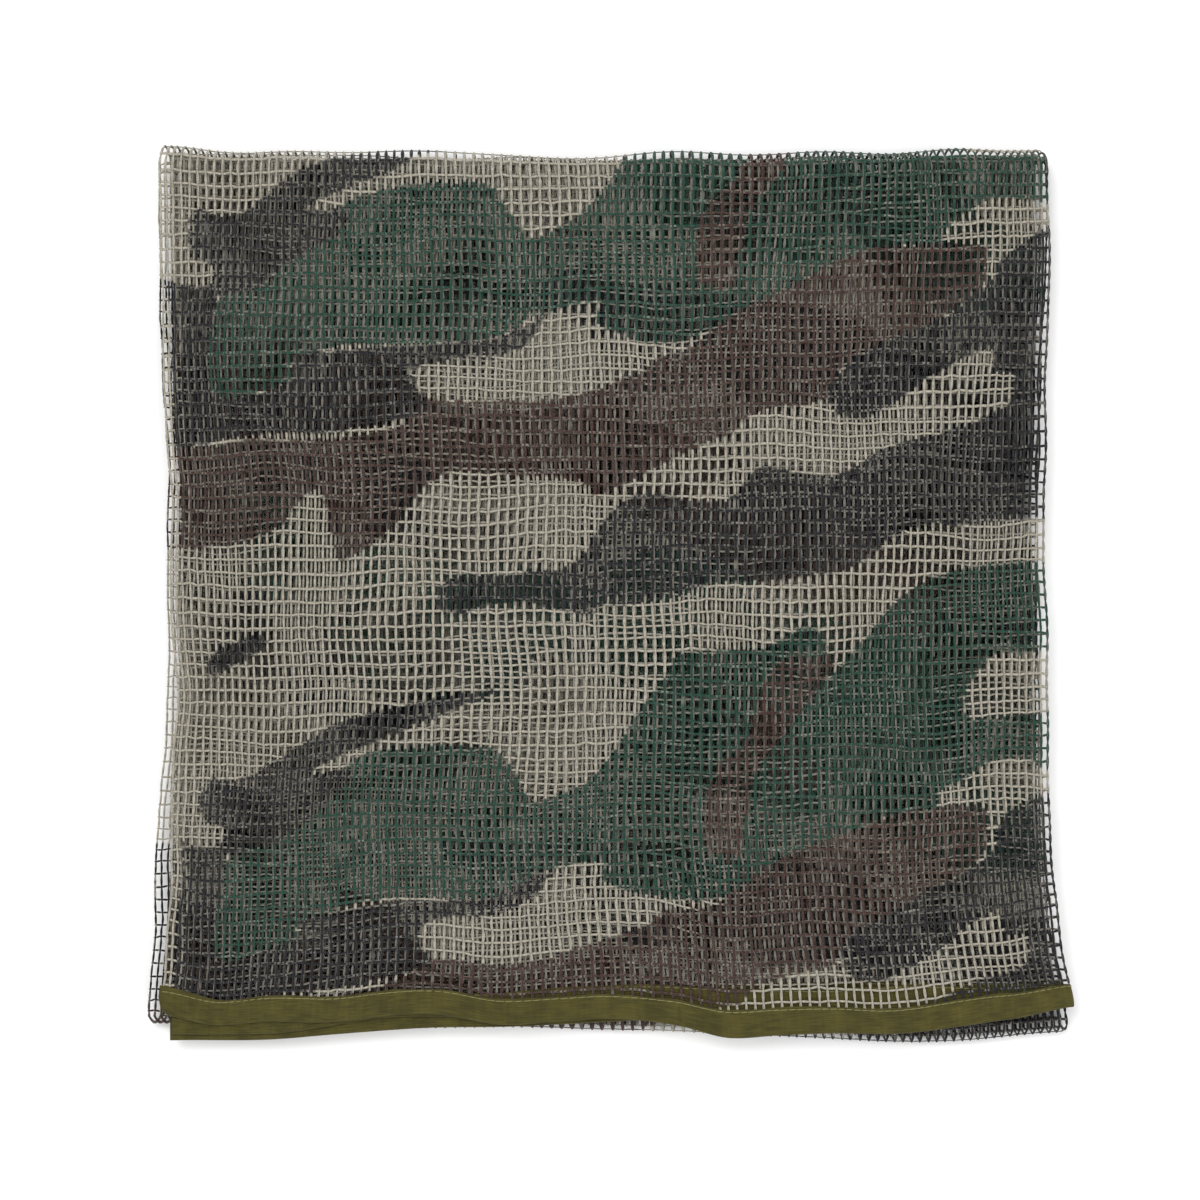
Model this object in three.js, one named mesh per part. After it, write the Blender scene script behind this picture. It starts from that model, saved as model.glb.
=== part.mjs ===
// A camouflage net scarf, worn as a face veil, folded into a square stack of eight plies.
// The open net is first folded in half across its width, then twice along its length.
// Millimetres. +X runs along the hem tapes, +Y towards the last fold, +Z up.
import * as THREE from 'three';

// ---- Driving dimensions ----
const CLOTH_WIDTH = 925; // open net, selvage to selvage
const CLOTH_LENGTH = 1850; // open net, hem to hem
const NET_THICKNESS = 1.4; // one ply of knotted mesh
const PLY_GAP = 1.0; // air between two plies
const TAPE_WIDTH = 14; // hem tape once it is folded over the net's end
const TAPE_THICKNESS = 0.3;
const NET_END_THICKNESS = 0.4; // net squeezed flat inside the hem
const TAPE_OVERHANG = 1.5; // tape past the selvage at its two ends
const THREAD_WIDTH = 0.8;
const THREAD_THICKNESS = 0.2;
const STITCH_INSET = 1.2; // seam's centre line below the tape's upper edge

// ---- Clearances ----
const SLIT_CLEARANCE = 0.25; // net's end to the tape that binds it
const THREAD_CLEARANCE = 0.15; // thread to the tape it lies on
const JOIN_GAP = 0.3; // between two stretches of the cloth that run on into each other

// ---- How the stack lies ----
const WAIST = 1.5; // each side pulls in by this much half way up
const TOP_DIP = 4; // the last fold sags by this much in the middle
const UPPER_SPREAD = { left: 5, right: 14 }; // how far the hem end fans out
const LOWER_SPREAD = { left: 10, right: 15 };
const SELVAGE_SET = [3, 8, 8, 9, 0, 7, 8, 6]; // each ply's selvage, top ply first
const FOLD_SET = [0, 4, 2, 5]; // each pair's side fold, top pair first
// Each hem's lower edge, and the first length folds, at equal steps from selvage to side fold.
const HEM_LIFT = [
  [13.5, 7.5, 9.5, 9.5, 12.5, 12.5, 7.5, 9, 11, 8, 0.5, 1.5, 3, 3, 6, 10.5, 16.6],
  [2.5, 3, 10.5, 12, 14, 13, 13, 15, 16.6],
  [-1, -0.5, 4.5, 6, 9, 14.5, 16.6, 17, 16.6],
  [4, 5, 7, 9, 11, 12, 13, 15, 16.6],
];
const LOWER_LIFT = [12, 11.5, 10, 9, 8, 6, 3, 2.5, 6.5];

// ---- Resolution ----
const RUN_STEPS = 16; // stations along a run of cloth
const ROW_STEPS = 6; // stations up a ply
const BEND_STEPS = 8; // stations round a fold
const HEM_STEPS = 4; // stations round the net's end, in the tape

// ---- Worked out ----
const PITCH = NET_THICKNESS + PLY_GAP;
const PLIES = 8;
const UPPER_PLIES = 4;
const SIDE_RADIUS = PITCH / 2;
const HINGE_REACH = PITCH / 2; // hinge line past the plies' upper edge, on the innermost last fold's crest
// One thread of cloth passes three length folds, whose mean radii are 3.5, 1.5 and 0.5 pitches.
const ROW = (CLOTH_LENGTH - Math.PI * PITCH * (3.5 + 1.5 + 0.5)) / 4;
const RUN = (CLOTH_WIDTH - Math.PI * SIDE_RADIUS) / 2;
const NET_HALF = NET_THICKNESS / 2;
const NET_END_HALF = NET_END_THICKNESS / 2;
const TAPE_HALF = NET_END_HALF + SLIT_CLEARANCE + TAPE_THICKNESS;

const plyHeight = (ply) => (PLIES - ply) * PITCH + NET_HALF;
const pairOf = (ply) => Math.floor((ply - 1) / 2);
const foldX = (pair) => RUN - FOLD_SET[pair];
const selvageX = (ply) => SELVAGE_SET[ply - 1];
const inUpper = (ply) => ply <= UPPER_PLIES;

// A smooth line through values at equal steps, read at a share from 0 to 1.
function smoothLine(values) {
  const line = new THREE.SplineCurve(values.map((v, i) => new THREE.Vector2(i, v)));
  return (share) => line.getPoint(THREE.MathUtils.clamp(share, 0, 1)).y;
}
const hemLift = HEM_LIFT.map(smoothLine);
const lowerLift = smoothLine(LOWER_LIFT);

// Lays a point of the flat, square stack as the real stack lies: waisted, fanned out and uneven.
function drape(ply, x, y, z) {
  const down = THREE.MathUtils.clamp(1 - y / ROW, 0, 1);
  const up = THREE.MathUtils.clamp(y / ROW, 0, 1);
  const along = THREE.MathUtils.clamp(x / RUN, 0, 1);
  const spread = inUpper(ply) ? UPPER_SPREAD : LOWER_SPREAD;
  const lift = inUpper(ply) ? hemLift[ply - 1](along) : lowerLift(along);
  const fan = THREE.MathUtils.lerp(-spread.left, spread.right, along) * down ** 2;
  const waist = WAIST * Math.sin(Math.PI * down) * (1 - 2 * along);
  const dip = TOP_DIP * Math.sin(Math.PI * along) ** 2 * up ** 6;
  return new THREE.Vector3(x + fan + waist, y + lift * down ** 3 - dip, z);
}

// A slab whose corners all follow place(u, v, side): side is 1 on its outer face and -1 on its inner.
function slab(uStations, vStations, place) {
  const [uCount, vCount] = [uStations.length - 1, vStations.length - 1];
  const geometry = new THREE.BoxGeometry(uCount, vCount, 2, uCount, vCount, 1);
  const position = geometry.attributes.position;
  for (let i = 0; i < position.count; i++) {
    const u = uStations[Math.round(position.getX(i) + uCount / 2)];
    const v = vStations[Math.round(position.getY(i) + vCount / 2)];
    const { x, y, z } = place(u, v, Math.sign(position.getZ(i)));
    position.setXYZ(i, x, y, z);
  }
  geometry.computeVertexNormals();
  return geometry;
}

const steps = (from, to, count) =>
  Array.from({ length: count + 1 }, (_, i) => THREE.MathUtils.lerp(from, to, i / count));

// A station along a run of cloth turns (y, n) into a place; n is the height over the cloth's middle.
const runStations = (ply, from, to, facing = 1) =>
  steps(from, to, RUN_STEPS).map((x) => (y, n) => drape(ply, x, y, plyHeight(ply) + facing * n));

// Stations round a side fold, from the pair's upper ply down to its under ply.
function sideStations(pair, inset) {
  const over = 2 * pair + 1;
  const middle = plyHeight(over) - SIDE_RADIUS;
  return steps(inset, Math.PI - inset, BEND_STEPS).map((turn) => (y, n) => {
    const reach = SIDE_RADIUS + n;
    return drape(over, foldX(pair) + reach * Math.sin(turn), y, middle + reach * Math.cos(turn));
  });
}

// The net from its lower edge up, with its thickness; a hemmed end is squeezed thin in its tape.
function netRows(ply) {
  const top = ROW - JOIN_GAP / 2;
  const full = (y) => ({ y, half: NET_HALF });
  if (!inUpper(ply)) return steps(JOIN_GAP / 2, top, ROW_STEPS).map(full);
  const bound = TAPE_WIDTH + JOIN_GAP;
  const thin = [TAPE_THICKNESS + JOIN_GAP, bound].map((y) => ({ y, half: NET_END_HALF }));
  return [...thin, ...steps(bound, top, ROW_STEPS).map(full)];
}

const netSlab = (stations, ply) =>
  slab(stations, netRows(ply), (station, row, side) => station(row.y, side * row.half));

// The tape's strip from its under leaf's upper edge, round the net's end, to its over leaf's edge.
function tapeRows() {
  const middle = TAPE_HALF - TAPE_THICKNESS / 2;
  const turns = steps(-Math.PI / 2, Math.PI / 2, HEM_STEPS);
  return [
    { y: TAPE_WIDTH, n: -middle, outY: 0, outN: -1 },
    ...turns.map((turn) => ({
      y: TAPE_HALF - middle * Math.cos(turn),
      n: middle * Math.sin(turn),
      outY: -Math.cos(turn),
      outN: Math.sin(turn),
    })),
    { y: TAPE_WIDTH, n: middle, outY: 0, outN: 1 },
  ];
}

const tapeSlab = (stations) =>
  slab(stations, tapeRows(), (station, row, side) => {
    const out = (side * TAPE_THICKNESS) / 2;
    return station(row.y + out * row.outY, row.n + out * row.outN);
  });

// A seam thread on one face of the tape: face is 1 away from the side fold's middle, -1 towards it.
function threadSlab(stations, face) {
  const height = face * (TAPE_HALF + THREAD_CLEARANCE + THREAD_THICKNESS / 2);
  const centre = TAPE_WIDTH - STITCH_INSET;
  const edges = [centre - THREAD_WIDTH / 2, centre + THREAD_WIDTH / 2];
  return slab(stations, edges, (station, y, side) =>
    station(y, height + (side * THREAD_THICKNESS) / 2));
}

// A hem runs along the upper ply of a pair, round its side fold and back along the under ply.
function hemStations(pair, overhang) {
  const [over, under] = [2 * pair + 1, 2 * pair + 2];
  return [
    ...runStations(over, selvageX(over) - overhang, foldX(pair)),
    ...sideStations(pair, 0).slice(1, -1),
    ...runStations(under, foldX(pair), selvageX(under) - overhang, -1),
  ];
}

// A length fold joins an outer ply to the ply it turns under; end is 1 at the top, -1 below.
function lengthFold(over, under, end) {
  const radius = (plyHeight(over) - plyHeight(under)) / 2;
  const middle = (plyHeight(over) + plyHeight(under)) / 2;
  const line = end > 0 ? ROW : 0;
  const inset = JOIN_GAP / 2 / radius;
  const from = Math.max(selvageX(over), selvageX(under));
  const to = Math.min(foldX(pairOf(over)), foldX(pairOf(under))) - JOIN_GAP / 2;
  const firstTurn = end > 0 ? 0 : -Math.PI;
  const turns = steps(firstTurn + inset, firstTurn + Math.PI - inset, BEND_STEPS);
  return slab(steps(from, to, RUN_STEPS), turns, (x, turn, side) => {
    const reach = radius + side * NET_HALF;
    return drape(under, x, line + reach * Math.sin(turn), middle + reach * Math.cos(turn));
  });
}

// ---- Materials ----
const cloth = (color, roughness) =>
  new THREE.MeshStandardMaterial({ color, roughness, metalness: 0, side: THREE.FrontSide });
const net = cloth('#6f6a52', 0.9);
const tape = cloth('#575422', 0.85);
const thread = cloth('#8a8644', 0.7);

// ---- Assembly ----
const scarf = new THREE.Group();
const stack = new THREE.Group();
scarf.add(stack);

function piece(name, geometry, material) {
  const mesh = new THREE.Mesh(geometry, material);
  mesh.name = name;
  stack.add(mesh);
}

for (let ply = 1; ply <= PLIES; ply++) {
  const stations = runStations(ply, selvageX(ply), foldX(pairOf(ply)) - JOIN_GAP / 2);
  piece(`net_ply_${ply}`, netSlab(stations, ply), net);
}

for (let pair = 0; pair < PLIES / 2; pair++) {
  const [over, under] = [2 * pair + 1, 2 * pair + 2];
  const inset = JOIN_GAP / 2 / SIDE_RADIUS;
  piece(`net_side_fold_${over}_${under}`, netSlab(sideStations(pair, inset), over), net);
}

for (const [over, under] of [[5, 8], [6, 7]]) {
  piece(`net_bottom_fold_${over}_${under}`, lengthFold(over, under, -1), net);
}

for (let over = 1; over <= UPPER_PLIES; over++) {
  const under = PLIES + 1 - over;
  piece(`net_last_fold_${over}_${under}`, lengthFold(over, under, 1), net);
}

for (const [pair, end] of [[0, 'outer'], [1, 'inner']]) {
  piece(`hem_tape_${end}`, tapeSlab(hemStations(pair, TAPE_OVERHANG)), tape);
  piece(`needle_thread_${end}`, threadSlab(hemStations(pair, 0), 1), thread);
  piece(`bobbin_thread_${end}`, threadSlab(hemStations(pair, 0), -1), thread);
}

// The stack stands on z = 0, centred on the origin.
const box = new THREE.Box3().setFromObject(stack);
const centre = box.getCenter(new THREE.Vector3());
stack.position.set(-centre.x, -centre.y, -box.min.z);

// Hinge line of the last fold, along X: half way up the stack, past the plies' upper edge.
scarf.userData.lastFoldHinge = { y: ROW + HINGE_REACH - centre.y, z: (box.max.z - box.min.z) / 2 };

export default scarf;
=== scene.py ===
"""A camouflage net scarf folded in eight: twisted net yarns, hem tapes and seam threads.

Lengths are in millimetres until a mesh is made. The open cloth is described by u across it, v along it
from the outer hem and n off its middle; lay() folds those into the stack that the frame holds.
"""
import math

import bpy
import numpy as np
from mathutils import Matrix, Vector


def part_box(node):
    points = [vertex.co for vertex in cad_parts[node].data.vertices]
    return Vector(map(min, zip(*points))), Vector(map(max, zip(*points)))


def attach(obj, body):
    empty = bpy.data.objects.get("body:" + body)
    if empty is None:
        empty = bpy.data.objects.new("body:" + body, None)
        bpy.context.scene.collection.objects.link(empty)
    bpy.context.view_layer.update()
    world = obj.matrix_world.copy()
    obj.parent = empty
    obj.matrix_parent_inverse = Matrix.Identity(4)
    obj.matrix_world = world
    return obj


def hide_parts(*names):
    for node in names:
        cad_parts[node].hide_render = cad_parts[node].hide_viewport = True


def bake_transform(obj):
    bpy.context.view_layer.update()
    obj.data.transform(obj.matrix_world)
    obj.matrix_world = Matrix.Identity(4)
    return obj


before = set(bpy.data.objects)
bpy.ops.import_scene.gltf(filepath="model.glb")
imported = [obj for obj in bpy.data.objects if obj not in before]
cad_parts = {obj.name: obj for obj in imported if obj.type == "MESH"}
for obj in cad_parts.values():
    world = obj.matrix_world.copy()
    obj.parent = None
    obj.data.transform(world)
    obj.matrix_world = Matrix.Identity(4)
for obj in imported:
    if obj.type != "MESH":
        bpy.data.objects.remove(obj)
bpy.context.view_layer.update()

MM = 0.001


def make_camera():
    """Straight above the stack, which lies a little right of and below the middle of the view."""
    data = bpy.data.cameras.new("overhead")
    distance, view_width = 2.2, 0.624
    data.sensor_width = 36
    data.lens = data.sensor_width * distance / view_width
    camera = bpy.data.objects.new("overhead", data)
    camera.location = (-0.0073, -0.0026, distance)
    bpy.context.collection.objects.link(camera)
    bpy.context.scene.camera = camera


make_camera()

# ---- The cloth, as the frame has it ----
CLOTH_WIDTH = 925.0
CLOTH_LENGTH = 1850.0
PITCH = 2.4  # from one ply to the next
NET_HALF = 0.7  # half a ply's thickness in the frame
HALF_JOIN_GAP = 0.15  # a ply stops this far short of the place where its last fold begins
SIDE_RADIUS = PITCH / 2
FOLD_PITCHES = 3.5 + 1.5 + 0.5  # mean radii of three length folds of one thread, in pitches
ROW = (CLOTH_LENGTH - math.pi * PITCH * FOLD_PITCHES) / 4
RUN = (CLOTH_WIDTH - math.pi * SIDE_RADIUS) / 2
FOLD_CREST = CLOTH_WIDTH / 2
PLY_MIDDLE = {ply: (8 - ply) * PITCH + NET_HALF for ply in range(1, 9)}
# Each ply's selvage and side fold are set in by these from the stack's left and right.
SELVAGE_SET = dict(zip(range(1, 9), (3, 8, 8, 9, 0, 7, 8, 6)))
FOLD_SET = dict(zip(range(1, 9), (0, 0, 4, 4, 2, 2, 5, 5)))
# How far the hem edges of plies 1 to 4, and the bottom folds, lie above the stack's lowest line.
HEM_LIFT = {
    1: (13.5, 7.5, 9.5, 9.5, 12.5, 12.5, 7.5, 9, 11, 8, 0.5, 1.5, 3, 3, 6, 10.5, 16.6),
    2: (2.5, 3, 10.5, 12, 14, 13, 13, 15, 16.6),
    3: (-1, -0.5, 4.5, 6, 9, 14.5, 16.6, 17, 16.6),
    4: (4, 5, 7, 9, 11, 12, 13, 15, 16.6),
}
LOWER_LIFT = (12, 11.5, 10, 9, 8, 6, 3, 2.5, 6.5)
# How far the stack's left and right sides lie off straight, from the last fold down to the hems.
LEFT_SIDE = (-3.4, -2.8, -3.0, 1.2, 0.2, 1.8, -2.5, -4.0, -9.0)
RIGHT_SIDE = (-4.2, -4.5, -5.5, -6.4, -6.2, -5.8, -4.1, -0.4, 8.2)
UPPER_INSET = 5  # the upper plies' selvages lie this much inside the lower ones' at the hems
TOP_DIP = 4  # how far the last fold sags in its middle
TAPE_WIDTH = 14.0
TAPE_THICKNESS = 0.3
TAPE_HALF = 0.75  # half the bound hem's thickness
TAPE_OVERHANG = 1.5  # past each selvage

# ---- The cloth's path: four rows and the three length folds between them ----
ROW_PLIES = ((1, 2), (8, 7), (5, 6), (4, 3))  # printed side of the pair first
ROW_MIDDLE = np.array([(PLY_MIDDLE[a] + PLY_MIDDLE[b]) / 2 for a, b in ROW_PLIES])
ROW_FACING = np.array((1, -1, 1, -1))
FOLD_RADIUS = np.abs(np.diff(ROW_MIDDLE)) / 2
FOLD_AT_TOP = np.array((1, 0, 1))
PATH = np.concatenate(([0.0], np.cumsum([
    ROW, math.pi * FOLD_RADIUS[0], ROW, math.pi * FOLD_RADIUS[1], ROW, math.pi * FOLD_RADIUS[2], ROW])))
ROW_CELLS = 67
FOLD_CELLS = (3, 1, 1)
CELLS = np.concatenate(([0], np.cumsum([
    ROW_CELLS, FOLD_CELLS[0], ROW_CELLS, FOLD_CELLS[1], ROW_CELLS, FOLD_CELLS[2], ROW_CELLS])))

# ---- Yarns ----
WARP_PITCH = 4.503
CROWDING = 0.13
SELVAGE_WARPS = (0.8, 4.1, 7.7)
STRAND_RADIUS = 0.46
STRAND_SIDEWAYS = 0.28
STRAND_OVER = 0.38
WEFT_HALF_WIDTH = 0.65
WEFT_HALF_THICKNESS = 0.26
STITCH = 4.0
SQUEEZED_STRAND = 0.33  # share of their height that yarns keep inside a hem
SQUEEZED_WEFT = 0.5
SQUEEZE_REACH = TAPE_WIDTH + 0.3

# Where the stack's own corner of x and y lies in the frame.
ORIGIN_X = max(SELVAGE_SET[1], SELVAGE_SET[8]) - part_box("net_last_fold_1_8")[0][0] / MM
ORIGIN_Y = ROW - HALF_JOIN_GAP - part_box("net_ply_1")[1][1] / MM


# ---- Curves ----
def smooth_line(values, share, closed=False):
    """Reads a smooth curve through values at equal steps, at shares from 0 to 1."""
    values = np.asarray(values, float)
    spans = len(values) if closed else len(values) - 1
    at = np.clip(share, 0, 1) * spans
    first = np.minimum(at.astype(int), spans - 1)
    t = at - first
    if values.ndim == 2:
        t = t[..., None]

    def pick(step):
        index = first + step
        return values[index % len(values) if closed else np.clip(index, 0, len(values) - 1)]

    a, b, c, d = (pick(step) for step in (-1, 0, 1, 2))
    return 0.5 * (2 * b + (c - a) * t + (2 * a - 5 * b + 4 * c - d) * t**2 + (3 * b - a + d - 3 * c) * t**3)


def ripple(seed, shortest, longest, waves=9):
    """A soft random relief, about -1 to 1, made of waves between two lengths."""
    draw = np.random.default_rng(seed)
    heading = draw.uniform(0, math.tau, waves)
    length = draw.uniform(shortest, longest, waves)
    phase = draw.uniform(0, math.tau, waves)

    def read(x, y):
        total = 0.0
        for h, size, p in zip(heading, length, phase):
            total = total + np.sin((x * math.cos(h) + y * math.sin(h)) * math.tau / size + p)
        return total / math.sqrt(waves)

    return read


DRIFT_X = ripple(11, 90, 320)
DRIFT_Y = ripple(12, 90, 320)
TREMOR_X = ripple(13, 45, 110)
TREMOR_Y = ripple(14, 40, 100)
BILLOW = ripple(15, 60, 190)
SWAY_X = (1.2, 0.7)  # how far the long and the short ripples move the cloth
SWAY_Y = (1.0, 1.5)
HEM_CALM = 0.7  # share of the ripples along the cloth that the hems take away
LEAST_SAG = 0.01
MEAN_SAG = 0.09
LOWEST = 0.02  # no yarn dips under the floor
SAG_ENDS = (0.80, 0.955)  # shares of the way up; the plies lie flat beyond them
SIDE_BLEND = 40  # to either side of the side fold, where one ply's drape becomes the next one's


def smoothstep(low, high, x):
    t = np.clip((x - low) / (high - low), 0, 1)
    return t * t * (3 - 2 * t)


# ---- Folding the cloth ----
def crowd(share):
    """Warps crowd towards both sides of a ply and stand apart in its middle."""
    return share - CROWDING * np.sin(math.tau * share) / math.tau


def lay(u, v, n):
    """Takes points of the open cloth to their places in the folded stack, in the frame's metres."""
    u, v, n = np.broadcast_arrays(np.asarray(u, float), v, n)
    stretch = np.clip(np.searchsorted(PATH, v, side="right") - 1, 0, 6)
    row = stretch // 2
    following = np.minimum(row + 1, 3)
    folding = stretch % 2 == 1
    fold = np.minimum(row, 2)
    travel = v - PATH[stretch]
    turn = np.where(folding, travel / FOLD_RADIUS[fold], 0)
    share = turn / math.pi

    def along_path(by_ply, side):
        values = np.array([by_ply[plies[side]] for plies in ROW_PLIES], float)
        return values[row] * (1 - share) + values[following] * share

    # Across: out along one run, round the side fold, and back along the other.
    fold_x = RUN - along_path(FOLD_SET, 0)
    back = CLOTH_WIDTH - u
    out_share, back_share = u / RUN, back / RUN
    bend = np.clip((u - RUN) / SIDE_RADIUS, 0, math.pi)
    selvage_out, selvage_back = along_path(SELVAGE_SET, 0), along_path(SELVAGE_SET, 1)
    x = np.where(
        u < RUN,
        selvage_out + (fold_x - selvage_out) * crowd(out_share),
        np.where(
            back < RUN,
            selvage_back + (fold_x - selvage_back) * crowd(back_share),
            fold_x + (SIDE_RADIUS + n) * np.sin(bend),
        ),
    )
    height = (SIDE_RADIUS + n) * np.cos(bend)

    # Along: up and down the rows, and round the length folds.
    facing = ROW_FACING[row]
    row_y = np.where(facing > 0, travel, ROW - travel)
    row_z = ROW_MIDDLE[row] + facing * height
    at_top = FOLD_AT_TOP[fold]
    # A fold turns the pair over: which face is outermost depends on the way it turns.
    outward = np.where(fold == 2, -1, 1)
    from_above = np.where(fold == 0, 1, -1)
    reach = FOLD_RADIUS[fold] + outward * height
    middle = (ROW_MIDDLE[fold] + ROW_MIDDLE[fold + 1]) / 2
    fold_y = np.where(at_top == 1, ROW, 0) + np.where(at_top == 1, 1, -1) * reach * np.sin(turn)
    fold_z = middle + from_above * reach * np.cos(turn)
    y = np.where(folding, fold_y, row_y)
    z = np.where(folding, fold_z, row_z)
    return drape(u, v, x, y, z, row, folding)


def drape(u, v, x, y, z, row, folding):
    """The stack's sides and hem edges wander, and every ply ripples a little."""
    upper = (row == 0) | (row == 3)
    down = np.clip(1 - y / ROW, 0, 1)
    up = np.clip(y / ROW, 0, 1)
    along = np.clip(x / RUN, 0, 1)
    lift = smooth_line(LOWER_LIFT, along)
    for number, (over, under) in ((0, ROW_PLIES[0]), (3, ROW_PLIES[3])):
        first = smooth_line(HEM_LIFT[over], along)
        second = smooth_line(HEM_LIFT[under], along)
        lift = np.where((row == number) & ~folding, np.where(u < FOLD_CREST, first, second), lift)
    left = smooth_line(LEFT_SIDE, down) + np.where(upper, UPPER_INSET, 0) * down**2
    right = smooth_line(RIGHT_SIDE, down)
    side = left * (1 - along) + right * along
    # The innermost last fold lies straight on the hinge line; the outer ones sag and wander.
    second = smoothstep(FOLD_CREST - SIDE_BLEND, FOLD_CREST + SIDE_BLEND, u)
    loose = np.where(row < 2, 1 - second / 3, second / 3)
    dip = loose * TOP_DIP * np.sin(math.pi * along) ** 2 * up**6
    settled = 1 - (1 - loose) * up**6
    calm = 1 - HEM_CALM * down**12
    x = x + side + SWAY_X[0] * DRIFT_X(u, v) + SWAY_X[1] * TREMOR_X(u, v)
    sway = SWAY_Y[0] * DRIFT_Y(u, v) + SWAY_Y[1] * TREMOR_Y(u, v)
    y = y + lift * down**3 - dip + calm * settled * sway
    # The plies only sag, so that the opened upper half still lies on the floor.
    away = 1 - smoothstep(*SAG_ENDS, up)
    z = z * (1 - away * (LEAST_SAG + MEAN_SAG * (1 + np.tanh(BILLOW(x, y)))))
    return np.stack(((x - ORIGIN_X) * MM, (y - ORIGIN_Y) * MM, np.maximum(z, LOWEST) * MM), axis=-1)


# ---- The camouflage print ----
PRINT_REPEAT = 295.4
UNPRINTED_FROM = (0, 370, 400)  # the bare selvage narrows away from the outer hem
UNPRINTED_WIDTH = (7.0, 6.0, 0.2)
# The print runs along the cloth's path; it is a little short by the third row, which starts a new repeat.
PRINT_PATH = np.where(PATH < PATH[3], PATH, PATH + 3 * PRINT_REPEAT - PATH[4])
PRINT_LEFT, PRINT_RIGHT = -12, 492
PRINT_STEP = 2.0
OUTLINES = {
    "green": [(
        (465, 245), (431, 244), (410, 239), (388, 227), (349, 183), (348, 204), (338, 215), (315, 202),
        (272, 197), (262, 188), (228, 139), (200, 122), (192, 124), (179, 144), (165, 150), (113, 147),
        (92, 136), (78, 124), (57, 96), (32, 85), (30, 35), (70, 45), (72, 55), (102, 63), (157, 66),
        (178, 71), (195, 81), (224, 86), (232, 85), (233, 72), (278, 69), (371, 112), (405, 116),
        (407, 124), (421, 132), (441, 140), (490, 142), (490, 245),
    )],
    "brown": [(
        (5, 10), (105, 15), (132, 25), (132, 32), (189, 33), (228, 41), (253, 52), (262, 60), (278, 65),
        (319, 90), (380, 115), (427, 115), (430, 103), (428, 92), (386, 64), (358, 51), (351, 37),
        (311, 26), (298, 17), (282, 13), (227, -15), (219, -8), (178, -2), (145, -4), (115, -38),
        (100, -46), (90, -47), (82, -15), (73, -15), (54, -37), (5, -44), (-20, -44), (-20, 10),
    ), (
        (322, 195), (348, 198), (350, 188), (314, 142), (302, 97), (292, 96), (284, 99), (284, 123),
        (291, 142), (305, 155),
    )],
    "black": [(
        (145, 230), (157, 238), (181, 238), (215, 246), (241, 277), (256, 281), (296, 278), (316, 295),
        (355, 293), (381, 306), (439, 324), (447, 329), (448, 341), (436, 343), (434, 353), (428, 355),
        (383, 328), (366, 323), (353, 331), (361, 349), (411, 375), (435, 392), (437, 401), (456, 414),
        (490, 417), (490, 281), (439, 269), (390, 261), (356, 240), (286, 233), (271, 228), (230, 225),
        (222, 218), (183, 224), (149, 218),
    ), (
        (19, 131), (41, 132), (78, 156), (123, 171), (162, 178), (167, 175), (79, 138), (98, 136),
        (92, 123), (57, 96), (37, 90), (32, 85), (30, 35), (70, 45), (72, 55), (85, 59), (157, 66),
        (178, 71), (201, 82), (188, 64), (140, 53), (132, 43), (132, 24), (5, 10), (-20, 10), (-20, 92),
        (23, 93), (30, 98), (29, 105), (19, 109),
    ), (
        (21, 195), (21, 185), (49, 201), (51, 210), (32, 204),
    )],
    "patch": [(
        (490, 196), (440, 195), (433, 190), (423, 179), (421, 171), (423, 165), (432, 163), (490, 170),
    )],
}


def depth_inside(outline, x, y):
    """How far inside a closed outline each point lies; negative outside it."""
    count = len(outline) * 4
    curve = smooth_line(outline, np.arange(count) / count, closed=True)
    nearest = np.full(x.shape, np.inf)
    inside = np.zeros(x.shape, bool)
    for (ax, ay), (bx, by) in zip(curve, np.roll(curve, -1, axis=0)):
        dx, dy = bx - ax, by - ay
        t = np.clip(((x - ax) * dx + (y - ay) * dy) / (dx * dx + dy * dy), 0, 1)
        nearest = np.minimum(nearest, np.hypot(x - ax - t * dx, y - ay - t * dy))
        crosses = (ay > y) != (by > y)
        if dy:
            inside ^= crosses & (x < ax + (y - ay) * dx / dy)
    return np.where(inside, nearest, -nearest)


def print_fields():
    """Each colour's depth over one repeat of the print, on a regular grid."""
    x = np.arange(PRINT_LEFT, PRINT_RIGHT, PRINT_STEP)
    rows = round(PRINT_REPEAT / PRINT_STEP)
    y = np.arange(rows) * PRINT_REPEAT / rows
    x, y = np.meshgrid(x, y, indexing="ij")
    return {
        name: np.max([
            depth_inside(outline, x, y + repeat * PRINT_REPEAT)
            for outline in outlines for repeat in (-1, 0, 1, 2)], axis=0)
        for name, outlines in OUTLINES.items()
    }


PRINT = print_fields()


def read_print(name, x, y):
    field = PRINT[name]
    columns, rows = field.shape
    a = np.clip((x - PRINT_LEFT) / PRINT_STEP, 0, columns - 1.001)
    b = (y % PRINT_REPEAT) / PRINT_REPEAT * rows
    i, j = a.astype(int), b.astype(int) % rows
    s, t = a - i, b - np.floor(b)
    k = (j + 1) % rows
    return (field[i, j] * (1 - s) + field[i + 1, j] * s) * (1 - t) + (
        field[i, k] * (1 - s) + field[i + 1, k] * s) * t


def print_at(u, v):
    """Depths of the print's colours at points of the cloth; the selvage is left unprinted."""
    from_edge = np.minimum(u, CLOTH_WIDTH - u)
    x = RUN * crowd(from_edge / RUN) + SELVAGE_SET[1]
    y = np.interp(v, PATH, PRINT_PATH)
    margin = from_edge - np.interp(v, UNPRINTED_FROM, UNPRINTED_WIDTH)
    return {name: np.minimum(read_print(name, x, y), margin) for name in OUTLINES}


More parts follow.
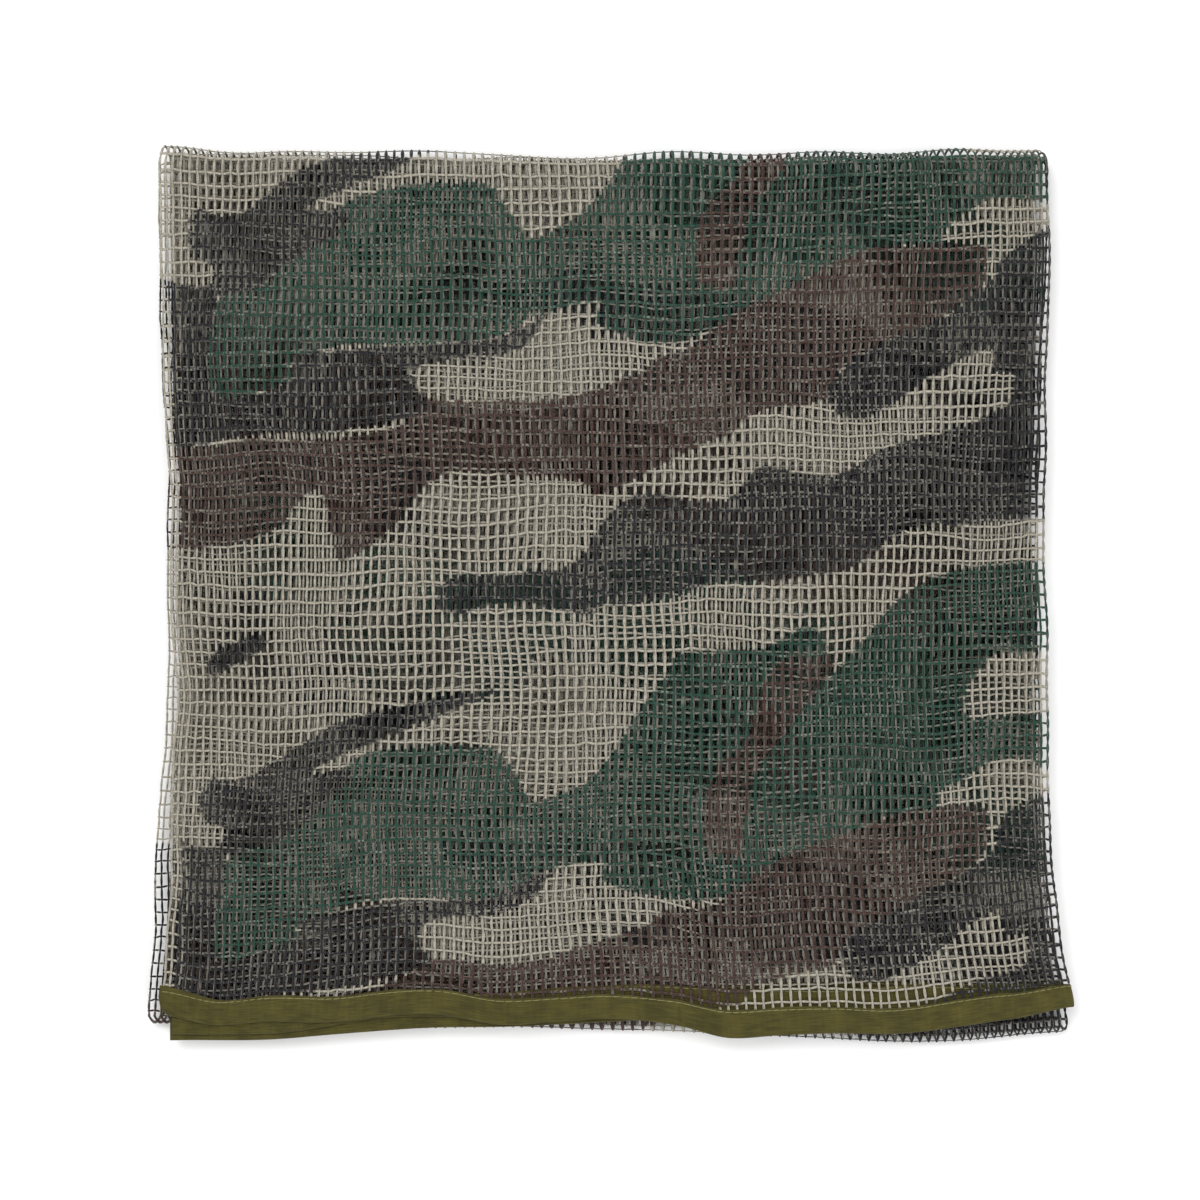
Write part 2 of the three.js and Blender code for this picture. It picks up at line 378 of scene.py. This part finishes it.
# ---- Meshes made of rings ----
class Rings:
    """Closed yarns and strips, each a row of rings; all of them become one mesh."""

    def __init__(self):
        self.grids = []

    def add(self, u, v, n, capped=True, **fields):
        """u, v and n are arrays of (yarn, ring, point round the ring)."""
        shape = np.broadcast_shapes(np.shape(u), np.shape(v), np.shape(n))
        u, v, n = (np.broadcast_to(a, shape) for a in (u, v, n))
        fields = {name: np.broadcast_to(f, shape).reshape(-1) for name, f in fields.items()}
        self.grids.append((lay(u, v, n).reshape(-1, 3), shape, capped, fields))

    def mesh(self, name, materials, smooth=True):
        points = np.concatenate([grid[0] for grid in self.grids])
        corners, sizes, base = [], [], 0
        for _, shape, capped, _ in self.grids:
            index = base + np.arange(np.prod(shape)).reshape(shape)
            near, far = index[:, :-1], index[:, 1:]
            quads = np.stack((near, np.roll(near, -1, 2), np.roll(far, -1, 2), far), axis=-1).reshape(-1, 4)
            corners.append(quads.reshape(-1))
            sizes.append(np.full(len(quads), 4))
            if capped:
                caps = np.concatenate((index[:, 0, ::-1], index[:, -1]))
                corners.append(caps.reshape(-1))
                sizes.append(np.full(len(caps), shape[2]))
            base += index.size
        corners, sizes = np.concatenate(corners), np.concatenate(sizes)
        mesh = bpy.data.meshes.new(name)
        mesh.vertices.add(len(points))
        mesh.vertices.foreach_set("co", points.astype(np.float32).reshape(-1))
        mesh.loops.add(len(corners))
        mesh.loops.foreach_set("vertex_index", corners.astype(np.int32))
        mesh.polygons.add(len(sizes))
        mesh.polygons.foreach_set("loop_start", np.concatenate(([0], np.cumsum(sizes)[:-1])).astype(np.int32))
        mesh.polygons.foreach_set("loop_total", sizes.astype(np.int32))
        mesh.polygons.foreach_set("use_smooth", np.full(len(sizes), smooth))
        mesh.update()
        for field in self.grids[0][3]:
            if field in ("flat_x", "flat_y"):
                continue
            values = np.concatenate([grid[3][field] for grid in self.grids]).astype(np.float32)
            layer = mesh.attributes.new(field, "FLOAT", "POINT")
            layer.data.foreach_set("value", values)
        self.unwrap(mesh, corners)
        for material in materials:
            mesh.materials.append(material)
        piece = bpy.data.objects.new(name, mesh)
        bpy.context.collection.objects.link(piece)
        return piece

    def unwrap(self, mesh, corners):
        """The flat cloth is the unwrapping; a yarn's girth takes the room of its own pitch."""
        flat = np.stack([
            np.concatenate([grid[3][axis] for grid in self.grids]) for axis in ("flat_x", "flat_y")], axis=-1)
        flat = (flat - flat.min(axis=0)) / (flat.max(axis=0) - flat.min(axis=0)).max()
        layer = mesh.uv_layers.new(name="OFBake")
        layer.uv.foreach_set("vector", (0.001 + 0.998 * flat)[corners].astype(np.float32).reshape(-1))


# ---- The net ----
def jitter(seed, rows, columns, size):
    """A table of small random offsets, in millimetres or in shares of a yarn's girth."""
    return np.random.default_rng(seed).normal(0, size, (rows, columns))


JITTER_ROWS = 212  # a few more than there are warps
JITTER_MARGIN = 8
CELL_COUNT = int(CELLS[-1])
WARP_JITTER = jitter(21, JITTER_ROWS, CELL_COUNT + 2, 0.20)
WEFT_JITTER = jitter(22, CELL_COUNT + 1, JITTER_ROWS + JITTER_MARGIN, 0.26)
WARP_SHIFT = jitter(23, JITTER_ROWS, CELL_COUNT + 2, 0.42)
WEFT_SHIFT = jitter(24, CELL_COUNT + 1, JITTER_ROWS + JITTER_MARGIN, 0.42)


def between(table, rows, at):
    """Reads a table's rows at fractional columns, easing from one value to the next."""
    first = np.floor(at).astype(int)
    t = at - first
    t = t * t * (3 - 2 * t)
    return table[rows][:, first] * (1 - t) + table[rows][:, first + 1] * t


def warp_places():
    """Every warp's place across the open cloth: close at the selvages, even between them."""
    edge = np.array(SELVAGE_WARPS)
    count = round((CLOTH_WIDTH - 2 * edge[-1]) / WARP_PITCH)
    inner = np.linspace(edge[-1], CLOTH_WIDTH - edge[-1], count + 1)[1:-1]
    return np.concatenate((edge, inner, CLOTH_WIDTH - edge[::-1]))


WARPS = warp_places()


def warps(rings, chosen, cell_from, cell_to, fineness, sides):
    """Each warp is two strands that twist half a turn between one weft and the next."""
    cells = np.linspace(cell_from, cell_to, round((cell_to - cell_from) * fineness) + 1)
    v = np.interp(cells, CELLS, PATH)[None, :, None]
    u = (WARPS[chosen][:, None] + between(WARP_JITTER, chosen, cells))[..., None]
    shift = between(WARP_SHIFT, chosen, cells)[..., None]
    depths = print_at(u, v + 0 * u)
    snug = math.pi / (sides * math.sin(math.pi / sides))
    round_ring = np.arange(sides) * math.tau / sides + math.pi / sides
    hem = np.minimum(v, PATH[-1] - v)
    flatten = np.where(hem < SQUEEZE_REACH, SQUEEZED_STRAND, 1.0)
    for strand in (0, 1):
        twist = (math.pi * cells + strand * math.pi)[None, :, None]
        across = STRAND_SIDEWAYS * np.cos(twist) + snug * STRAND_RADIUS * np.cos(round_ring)
        up = STRAND_OVER * np.sin(twist) - snug * 0.9 * STRAND_RADIUS * np.sin(round_ring)
        rings.add(
            u + across, v + 0 * u, up * flatten,
            cloth_u=u, cloth_v=v, run=v, facing=-np.sin(round_ring) + shift, girth=np.cos(round_ring),
            flat_x=u + 2.2 * strand + 2.2 * round_ring / math.tau, flat_y=v, **depths)


def wefts(rings, u_stations, cell_from, cell_to, sides):
    """Each weft lies between the strands of every warp that it crosses."""
    chosen = np.arange(math.ceil(cell_from), math.floor(cell_to))
    v = np.interp(chosen + 0.5, CELLS, PATH)[:, None]
    at = np.interp(u_stations, WARPS, np.arange(len(WARPS)))
    v = (v + between(WEFT_JITTER, chosen, at))[..., None]
    u = u_stations[None, :, None]
    shift = between(WEFT_SHIFT, chosen, at)
    crossing = np.abs(at - np.round(at))[None, :] * WARP_PITCH
    shift = (shift - 1.5 * np.exp(-((crossing / 1.15) ** 2)))[..., None]
    depths = print_at(u + 0 * v, v)
    snug = math.pi / (sides * math.sin(math.pi / sides))
    round_ring = np.arange(sides) * math.tau / sides + math.pi / sides
    pinch = (0.78 + 0.22 * smoothstep(0.2, 1.6, crossing))[..., None]
    hem = np.minimum(v, PATH[-1] - v)
    flatten = np.where(hem < SQUEEZE_REACH, SQUEEZED_WEFT, 1.0)
    own_strip = (np.interp(cell_from, CELLS, PATH) - 3 - 1.3 * np.arange(1, len(chosen) + 1))[:, None, None]
    rings.add(
        u + 0 * v, v + snug * WEFT_HALF_WIDTH * pinch * np.cos(round_ring),
        flatten * snug * WEFT_HALF_THICKNESS * np.sin(round_ring),
        cloth_u=u, cloth_v=v, run=u, facing=np.sin(round_ring) + shift, girth=np.cos(round_ring),
        flat_x=u, flat_y=own_strip + 1.2 * round_ring / math.tau, **depths)


def stations_across(first, last, fineness):
    """Places along a weft from u = first to last, spread evenly between the warps."""
    knots = np.concatenate(([0.0], WARPS, [CLOTH_WIDTH]))
    fine = np.interp(np.arange((len(knots) - 1) * fineness + 1) / fineness, np.arange(len(knots)), knots)
    inner = fine[(fine > first + 0.3) & (fine < last - 0.3)]
    return np.concatenate(([first], inner, [last]))


def net_piece(name, side, cell_from, cell_to, fineness, sides, material):
    """One stretch of the net: side 0 runs from the first selvage to the side fold, side 1 on from there."""
    ends = (0.0, FOLD_CREST) if side == 0 else (FOLD_CREST, CLOTH_WIDTH)
    chosen = np.flatnonzero((WARPS > ends[0] - 1) & (WARPS < ends[1] + 0.1 - 0.2 * side))
    rings = Rings()
    warps(rings, chosen, cell_from, cell_to, fineness, sides)
    wefts(rings, stations_across(*ends, fineness), cell_from, cell_to, sides)
    piece = rings.mesh(name, [material])
    return piece


def length_of(cell_from, cell_to):
    return float(np.interp(cell_to, CELLS, PATH) - np.interp(cell_from, CELLS, PATH)) * MM


YARN_REACH = 0.85  # a ply's yarns lie within this of its middle, and turn with its body
FOLD_MARGIN = 2  # cells of plain net that a length fold's piece takes on either side
FINE = {1: (4, 5, 5), 2: (3, 4, 3), 4: (3, 4, 3), 5: (3, 4, 3)}  # steps a cell, sides, sections
PLAIN = (2, 4, 2)


def make_plies(material):
    """Each ply in a few sections, so that no mesh grows too heavy."""
    for row, plies in enumerate(ROW_PLIES):
        first, last = int(CELLS[2 * row]), int(CELLS[2 * row + 1])
        first += 1 if row == 0 else FOLD_MARGIN
        last -= 1 if row == 3 else FOLD_MARGIN
        for side, ply in enumerate(plies):
            fineness, sides, sections = FINE.get(ply, PLAIN)
            cuts = np.linspace(first, last, sections + 1).round().astype(int)
            for number, (start, end) in enumerate(zip(cuts, cuts[1:]), 1):
                name = f"ply_{ply}_net_{number}"
                piece = net_piece(name, side, start, end, fineness, sides, material)
                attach(piece, "upper_stack" if ply <= 4 else "lower_stack")
                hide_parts(f"net_ply_{ply}", side_fold_node(ply))


def side_fold_node(ply):
    over = ply - 1 + ply % 2
    return f"net_side_fold_{over}_{over + 1}"


def make_length_folds(material):
    """The bottom folds ride with the lower stack; the last folds are left unattached, their placing baked
    into their meshes.
    """
    for fold in range(3):
        cell_from = int(CELLS[2 * fold + 1]) - FOLD_MARGIN
        cell_to = int(CELLS[2 * fold + 2]) + FOLD_MARGIN
        for side in (0, 1):
            lower_number, upper_number = sorted((ROW_PLIES[fold][side], ROW_PLIES[fold + 1][side]))[::-1]
            joined = f"{upper_number}_{lower_number}"
            at_top = bool(FOLD_AT_TOP[fold])
            name = f"last_fold_net_{joined}" if at_top else f"bottom_fold_net_{joined}"
            piece = net_piece(name, side, cell_from, cell_to, 8, 5, material)
            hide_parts(f"net_{'last' if at_top else 'bottom'}_fold_{joined}")
            low, high = PLY_MIDDLE[lower_number], PLY_MIDDLE[upper_number]
            if at_top:
                start, end = (0, 0, (low + YARN_REACH) * MM), (0, 0, (high - YARN_REACH) * MM)
                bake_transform(piece)
            else:
                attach(piece, "lower_stack")
            straight = 2 * length_of(cell_from, cell_from + FOLD_MARGIN)
            straight + math.pi * (high - low) / 2 * MM


# ---- Hems ----
TAPE_RELIEF = ripple(31, 12, 60)
SEAM_INSET = 1.2
CORNER_RADIUS = 8.0  # the outer tape's first end, folded back on itself at the corner
END_FLARE = 0.16  # how much wider the tape is there
END_FLARE_REACH = 22.0


def hem_path(hem, w):
    """Turns a distance from the net's end into a place along the cloth."""
    return w if hem == "outer" else PATH[-1] - w


def tape_profile():
    """The tape's section: its outer face from one leaf's edge round the net's end to the other, then back."""
    middle = TAPE_HALF - TAPE_THICKNESS / 2
    flat = np.linspace(TAPE_WIDTH, TAPE_HALF, 12)[:-1]
    turn = np.linspace(math.pi / 2, -math.pi / 2, 7)
    rounded_w = TAPE_HALF - middle * np.cos(turn)
    rounded_n = middle * np.sin(turn)
    w = np.concatenate((flat, rounded_w, flat[::-1]))
    n = np.concatenate((np.full(11, middle), rounded_n, np.full(11, -middle)))
    out_w = np.concatenate((np.zeros(11), -np.cos(turn), np.zeros(11)))
    out_n = np.concatenate((np.ones(11), np.sin(turn), -np.ones(11)))
    length = np.concatenate(([0], np.cumsum(np.hypot(np.diff(w), np.diff(n)))))
    half = TAPE_THICKNESS / 2

    def both(outer, inner):
        return np.concatenate((outer, inner[::-1]))

    return (
        both(w + half * out_w, w - half * out_w), both(n + half * out_n, n - half * out_n),
        both(length, length), both(np.zeros(len(w)), np.full(len(w), 40.0)))


def make_tape(hem, material):
    """The binding of one hem, folded over the net's end and pinched in along its seam."""
    w, n, length, inner = tape_profile()
    ring = slice(None) if hem == "outer" else slice(None, None, -1)
    w, n, length, inner = w[ring], n[ring], length[ring], inner[ring]
    u = np.unique(np.concatenate((
        np.arange(-TAPE_OVERHANG, CLOTH_WIDTH + TAPE_OVERHANG, 1.5),
        np.linspace(RUN, CLOTH_WIDTH - RUN, 9), [CLOTH_WIDTH + TAPE_OVERHANG])))[:, None]
    w, n = w[None, :] + 0 * u, n[None, :] + 0 * u
    if hem == "outer":
        inward = np.clip(CORNER_RADIUS - (u + TAPE_OVERHANG), 0, CORNER_RADIUS)
        rise = CORNER_RADIUS - np.sqrt(CORNER_RADIUS**2 - inward**2)
        w = rise + w * (TAPE_WIDTH - rise) / TAPE_WIDTH
        w = w * (1 + END_FLARE * np.exp(-((u / END_FLARE_REACH) ** 2)))
    leaf = np.sign(n) * smoothstep(0, 3, w)
    seam = np.exp(-(((w - TAPE_WIDTH + SEAM_INSET) / 0.9) ** 2))
    pucker = -0.14 * seam * (0.6 + 0.4 * np.cos(math.tau * u / STITCH))
    n = n + leaf * (0.12 * TAPE_RELIEF(u, w) + 0.12 + pucker)
    w = w + 0.25 * TAPE_RELIEF(u + 400, 0 * w) * smoothstep(8, 14, w)
    rings = Rings()
    rings.add(
        u[None], hem_path(hem, w)[None], n[None], capped=False,
        cloth_u=u[None], across=w[None], flat_x=u[None], flat_y=(length + inner)[None, None, :])
    piece = rings.mesh(f"{hem}_hem_tape", [material])
    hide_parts(f"hem_tape_{hem}")
    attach(piece, "upper_stack")
    return piece


def make_thread(kind, hem, material):
    """A line of lockstitches; the needle's shows on the printed face and the bobbin's on the other."""
    face = 1 if kind == "needle" else -1
    u = np.arange(0, CLOTH_WIDTH + 0.01, STITCH / 10)[:, None]
    way = 1 if hem == "outer" else -1
    ring = way * np.arange(6) * math.tau / 6
    stitch = u / STITCH + (0 if face > 0 else 0.5)
    arch = np.abs(np.sin(math.pi * stitch)) ** 0.6
    slant = 0.16 * (stitch % 1 - 0.5)
    w = TAPE_WIDTH - SEAM_INSET + slant + (0.16 + 0.13 * arch) * np.cos(ring)
    n = face * (TAPE_HALF - 0.2 + 0.42 * arch) + 0.2 * np.sin(ring)
    rings = Rings()
    rings.add(
        u[None] + 0 * w, hem_path(hem, w)[None], n[None],
        cloth_u=u[None], facing=np.sin(ring)[None, None, :], girth=np.cos(ring)[None, None, :],
        flat_x=u[None], flat_y=(np.arange(6) * 0.3)[None, None, :])
    piece = rings.mesh(f"{hem}_hem_{kind}_thread", [material])
    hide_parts(f"{kind}_thread_{hem}")
    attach(piece, "upper_stack")
    return piece


# ---- Finishes ----
class Value:
    """A number on a surface; arithmetic on it adds Math nodes."""

    def __init__(self, finish, socket):
        self.finish, self.socket = finish, socket

    def math(self, operation, *others):
        inputs = dict(enumerate((self, *others)))
        return self.finish.node("ShaderNodeMath", {"operation": operation}, inputs)

    def __add__(self, other):
        return self.math("ADD", other)

    def __radd__(self, other):
        return self.math("ADD", other)

    def __sub__(self, other):
        return self.math("SUBTRACT", other)

    def __rsub__(self, other):
        return (self * -1) + other

    def __mul__(self, other):
        return self.math("MULTIPLY", other)

    def __rmul__(self, other):
        return self.math("MULTIPLY", other)

    def sine(self):
        return self.math("SINE")

    def cosine(self):
        return self.math("COSINE")

    def step(self, low, high):
        """Eases from 0 at low to 1 at high."""
        settings = {"interpolation_type": "SMOOTHSTEP"}
        return self.finish.node("ShaderNodeMapRange", settings, {0: self, 1: low, 2: high, 3: 0.0, 4: 1.0})


class Finish:
    """A material under construction."""

    def __init__(self, name, **surface):
        self.material = bpy.data.materials.new(name)
        self.material.use_nodes = True
        self.tree = self.material.node_tree
        self.shader = self.tree.nodes["Principled BSDF"]
        for socket, value in surface.items():
            self.shader.inputs[socket.replace("_", " ")].default_value = value

    def node(self, kind, settings=None, inputs=None, output=0):
        node = self.tree.nodes.new(kind)
        for name, value in (settings or {}).items():
            setattr(node, name, value)
        for key, value in (inputs or {}).items():
            if isinstance(value, Value):
                self.tree.links.new(value.socket, node.inputs[key])
            else:
                node.inputs[key].default_value = value
        return Value(self, node.outputs[output])

    def field(self, name):
        return self.node("ShaderNodeAttribute", {"attribute_name": name}, output="Fac")

    def vector(self, x, y, z=0.0):
        return self.node("ShaderNodeCombineXYZ", {}, {"X": x, "Y": y, "Z": z})

    def noise(self, place, scale, detail=2.0):
        """Soft noise about zero, at scale features a millimetre."""
        inputs = {"Vector": place, "Scale": scale, "Detail": detail}
        return self.node("ShaderNodeTexNoise", {}, inputs, output="Fac") - 0.5

    def mix(self, factor, first, second):
        inputs = {0: factor, 6: first, 7: second}
        settings = {"data_type": "RGBA", "clamp_factor": True}
        return self.node("ShaderNodeMix", settings, inputs, output=2)

    def shade(self, colour, amount):
        """Multiplies a colour by a number; the finishes use it to paint shade and light into their colours.
        """
        inputs = {0: colour, "Scale": amount}
        return self.node("ShaderNodeVectorMath", {"operation": "SCALE"}, inputs)

    def finish(self, colour, roughness, height, depth):
        links, inputs = self.tree.links, self.shader.inputs
        links.new(colour.socket, inputs["Base Color"])
        links.new(roughness.socket, inputs["Roughness"])
        bump = self.node("ShaderNodeBump", {}, {"Height": height, "Distance": depth * MM, "Strength": 1.0})
        links.new(bump.socket, inputs["Normal"])
        return self.material


# Radians a millimetre: the yarns' and threads' twist, and the tape's weave.
YARN_TWIST = 5.5
THREAD_TWIST = 11.0
TAPE_WARP = 13.0
TAPE_WEFT = 15.0
TAN = (0.39, 0.360, 0.295, 1)
TAN_DARK = (0.28, 0.258, 0.205, 1)
BARE = (0.31, 0.295, 0.25, 1)
OLIVE_DARK = (0.040, 0.035, 0.005, 1)
OLIVE = (0.078, 0.067, 0.011, 1)
THREAD_PALE = (0.22, 0.205, 0.075, 1)
THREAD_DARK = (0.15, 0.14, 0.048, 1)
INKS = {
    "green": ((0.010, 0.042, 0.027, 1), (0.018, 0.058, 0.040, 1)),
    "brown": ((0.040, 0.020, 0.015, 1), (0.066, 0.036, 0.029, 1)),
    "black": ((0.008, 0.008, 0.010, 1), (0.016, 0.016, 0.019, 1)),
    "patch": (TAN, TAN_DARK),
}


def net_finish():
    """Pale twisted yarn, printed on one side in green, brown and black over tan, with shade painted into its
    twist and fuzz.
    """
    net = Finish("printed_net", Sheen_Weight=0.12, Sheen_Roughness=0.5, Specular_IOR_Level=0.25)
    u, v = net.field("cloth_u"), net.field("cloth_v")
    run, facing, girth = net.field("run"), net.field("facing"), net.field("girth")
    cloth = net.vector(u, v)
    yarn = net.vector(run, facing * 0.6, u)
    spread = net.noise(cloth, 0.30) * 5.0 + net.noise(cloth, 0.05) * 4.0
    wear = net.noise(yarn, 0.55, 3.0)
    colour = net.mix((wear + 0.5).step(0.35, 0.65), TAN, TAN_DARK)
    for name, (deep, worn) in INKS.items():
        ink = net.mix((wear + 0.5).step(0.40, 0.66), deep, worn)
        colour = net.mix((net.field(name) + spread).step(-0.8, 0.8), colour, ink)
    inked = facing.step(-0.80, 0.25) * 0.68 + 0.32
    colour = net.mix(inked, BARE, colour)
    twist = (run * YARN_TWIST).sine() * girth + (run * YARN_TWIST).cosine() * facing
    fuzz = net.noise(yarn, 3.2, 2.0)
    # Painted shade and light: the colour darkens in the twist's grooves and lightens on its ridges, in step
    # with the bump; the fuzz is partly a random tone of the fibres and partly painted shade that follows its
    # own bump.
    colour = net.shade(colour, twist * 0.07 + fuzz * 0.35 + 1.0)
    return net.finish(colour, wear * 0.2 + 0.86, twist * 0.5 + fuzz, 0.12)


def tape_finish():
    """Olive plain-weave tape with slubs along it and faint creases across it; shade is painted into its weave
    and creases.
    """
    tape = Finish("hem_tape", Sheen_Weight=0.10, Sheen_Roughness=0.5, Specular_IOR_Level=0.25)
    u, w = tape.field("cloth_u"), tape.field("across")
    slubs = tape.noise(tape.vector(u * 0.10, w * 1.7), 1.0, 3.0)
    creases = tape.noise(tape.vector(u * 0.55, w * 0.05), 1.0, 2.0)
    patches = tape.noise(tape.vector(u, w), 0.08)
    warp, weft = (u * TAPE_WARP).sine(), (w * TAPE_WEFT).sine()
    weave = warp * weft
    worn = (slubs + patches * 0.6 + 0.5).step(0.3, 0.7)
    colour = tape.mix(worn, OLIVE_DARK, OLIVE)
    # Painted shade and light: the colour darkens in the weave's hollows and along the creases, and lightens
    # on their ridges, in step with the bump.
    colour = tape.shade(colour, weave * 0.08 + creases * 0.5 + 1.0)
    return tape.finish(colour, slubs * 0.2 + 0.82, weave * 0.5 + slubs * 2.0 + creases * 2.5, 0.10)


def thread_finish():
    """Pale olive sewing thread with a fine twist, with shade painted into the twist."""
    thread = Finish("seam_thread", Sheen_Weight=0.15, Sheen_Roughness=0.4, Specular_IOR_Level=0.4)
    u, facing, girth = thread.field("cloth_u"), thread.field("facing"), thread.field("girth")
    twist = (u * THREAD_TWIST).sine() * girth + (u * THREAD_TWIST).cosine() * facing
    wear = thread.noise(thread.vector(u, 0.0), 0.4)
    colour = thread.mix((wear + 0.5).step(0.3, 0.7), THREAD_PALE, THREAD_DARK)
    # Painted shade and light: the colour darkens in the twist's grooves and lightens on its ridges, in step
    # with the bump.
    colour = thread.shade(colour, twist * 0.12 + 1.0)
    return thread.finish(colour, wear * 0.2 + 0.6, twist, 0.05)


# ---- Floor and light ----
def make_floor():
    """A wide pale floor under the stack."""
    mesh = bpy.data.meshes.new("floor")
    reach = 6.0
    corners = [(-reach, -reach, 0), (reach, -reach, 0), (reach, reach, 0), (-reach, reach, 0)]
    mesh.from_pydata(corners, [], [(0, 1, 2, 3)])
    floor = bpy.data.objects.new("floor", mesh)
    bpy.context.collection.objects.link(floor)
    material = bpy.data.materials.new("floor_white")
    material.use_nodes = True
    shader = material.node_tree.nodes["Principled BSDF"]
    shader.inputs["Base Color"].default_value = (0.96, 0.96, 0.96, 1)
    shader.inputs["Roughness"].default_value = 0.9
    mesh.materials.append(material)


def soft_light(name, place, size, power):
    """A square lamp that faces the stack."""
    data = bpy.data.lights.new(name, "AREA")
    data.shape = "SQUARE"
    data.size = size
    data.energy = power
    light = bpy.data.objects.new(name, data)
    light.location = place
    towards_stack = Vector(place) * -1.0
    light.rotation_euler = towards_stack.to_track_quat("-Z", "Y").to_euler()
    bpy.context.collection.objects.link(light)


def light_studio():
    world = bpy.data.worlds.new("studio")
    world.use_nodes = True
    world.node_tree.nodes["Background"].inputs["Color"].default_value = (1, 1, 1, 1)
    world.node_tree.nodes["Background"].inputs["Strength"].default_value = 0.86
    bpy.context.scene.world = world
    soft_light("key", (-0.9, 1.2, 2.6), 1.6, 40)
    soft_light("fill", (1.4, -0.8, 2.4), 1.8, 18)
    bpy.context.scene.view_settings.view_transform = "Standard"


make_floor()
light_studio()
NET, TAPE, THREAD = net_finish(), tape_finish(), thread_finish()
make_plies(NET)
make_length_folds(NET)
for hem in ("outer", "inner"):
    tape = make_tape(hem, TAPE)
    threads = [make_thread(kind, hem, THREAD) for kind in ("needle", "bobbin")]
